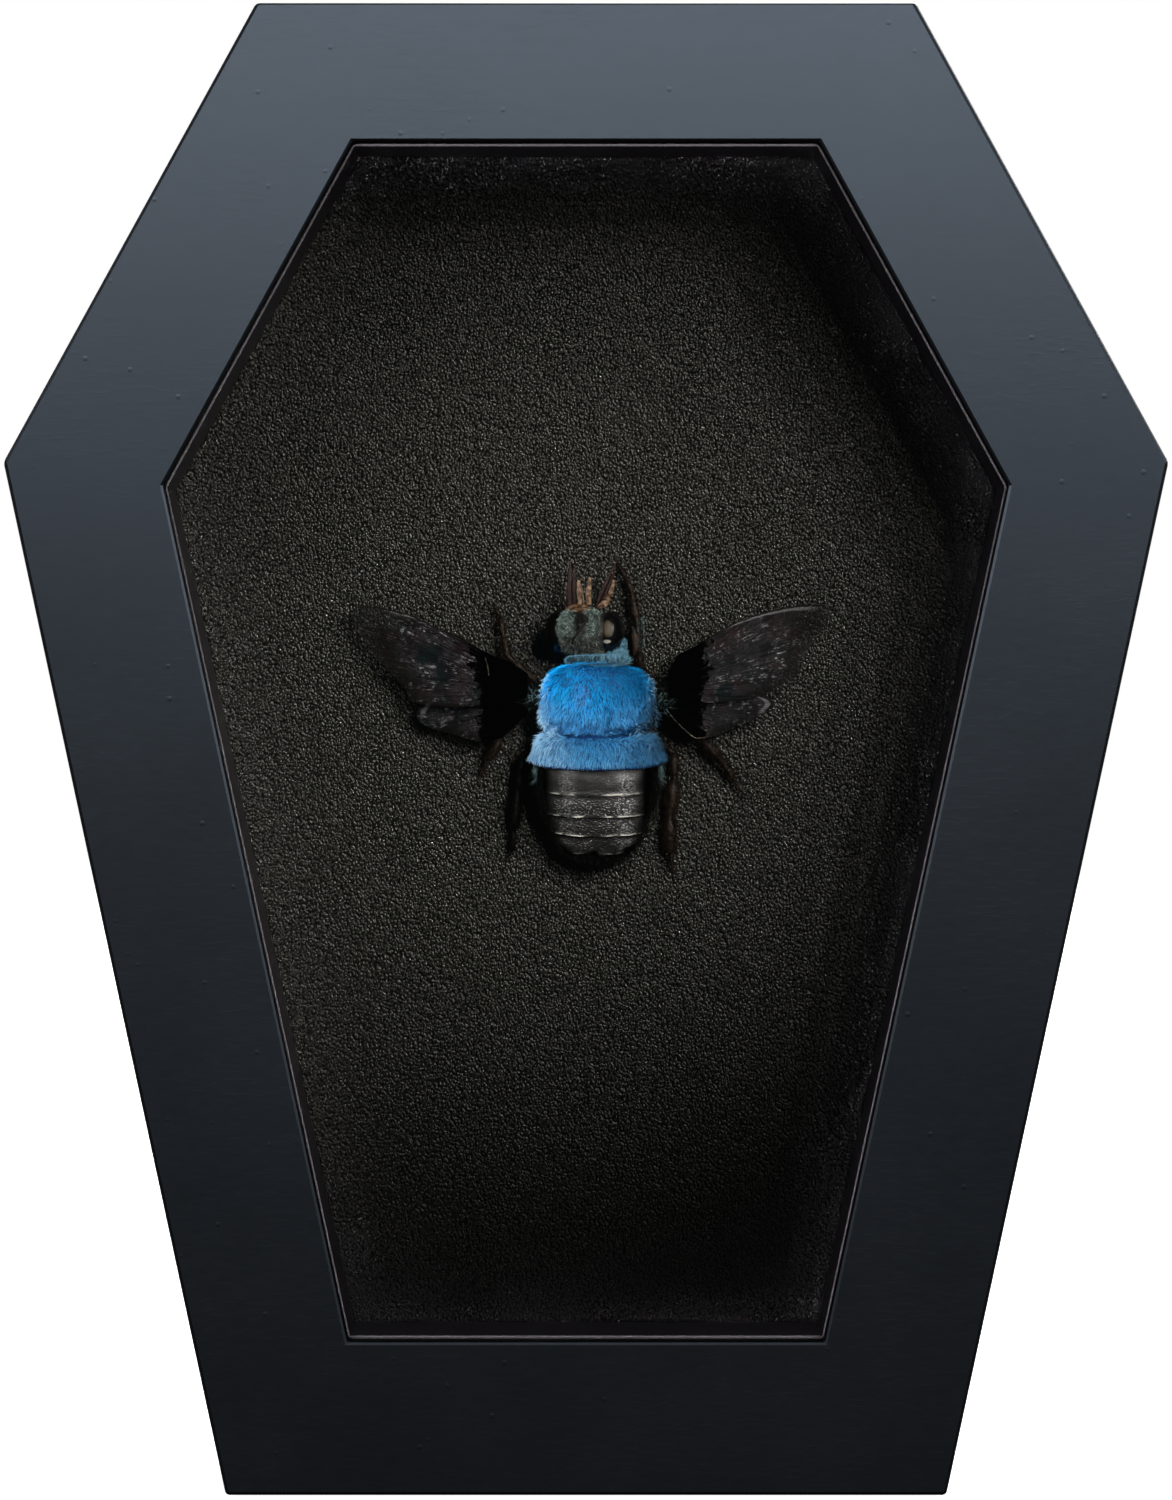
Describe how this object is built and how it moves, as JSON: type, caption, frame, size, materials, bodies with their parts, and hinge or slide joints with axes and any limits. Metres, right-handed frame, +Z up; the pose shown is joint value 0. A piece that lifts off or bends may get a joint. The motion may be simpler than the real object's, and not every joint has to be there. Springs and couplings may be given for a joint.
{
  "type": "framed carpenter bee specimen",
  "caption": "Spread blue-haired carpenter bee behind glass in a black coffin-shaped shadow box that stands on its foot.",
  "frame": {"origin": "middle of the foot that the case stands on: centre of the bounding box's lowest face", "axes": "+Z up along the case, -Y out of the glazed front towards the viewer, +X to the viewer's right"},
  "size_m": [0.119, 0.026, 0.1524],
  "materials": {
    "black_paint": "satin",
    "clear_glass": "gloss",
    "leatherette": "satin",
    "back_panel": "matte",
    "blue_pile": "matte",
    "grey_face": "matte",
    "black_chitin": "gloss",
    "smoky_wing": "gloss",
    "bristly_leg": "satin",
    "dark_mouth": "satin",
    "golden_mouth": "satin"
  },
  "bodies": {
    "root": {"front_fascia": "black_paint", "box_rim": "black_paint", "glass_pane": "clear_glass", "backing_card": "leatherette", "back_board": "back_panel", "head": "grey_face", "thorax": "blue_pile", "abdomen": "black_chitin", "antenna_left": "bristly_leg", "antenna_right": "bristly_leg", "galea_left": "dark_mouth", "galea_right": "dark_mouth", "palp_left": "golden_mouth", "palp_right": "golden_mouth", "tongue": "golden_mouth", "mandible_right": "golden_mouth", "forewing_left": "smoky_wing", "forewing_right": "smoky_wing", "hindwing_left": "smoky_wing", "hindwing_right": "smoky_wing", "foreleg_left": "bristly_leg", "foreleg_right": "bristly_leg", "midleg_left": "bristly_leg", "midleg_right": "bristly_leg", "hindleg_left": "bristly_leg", "hindleg_right": "bristly_leg"}
  },
  "joints": []
}
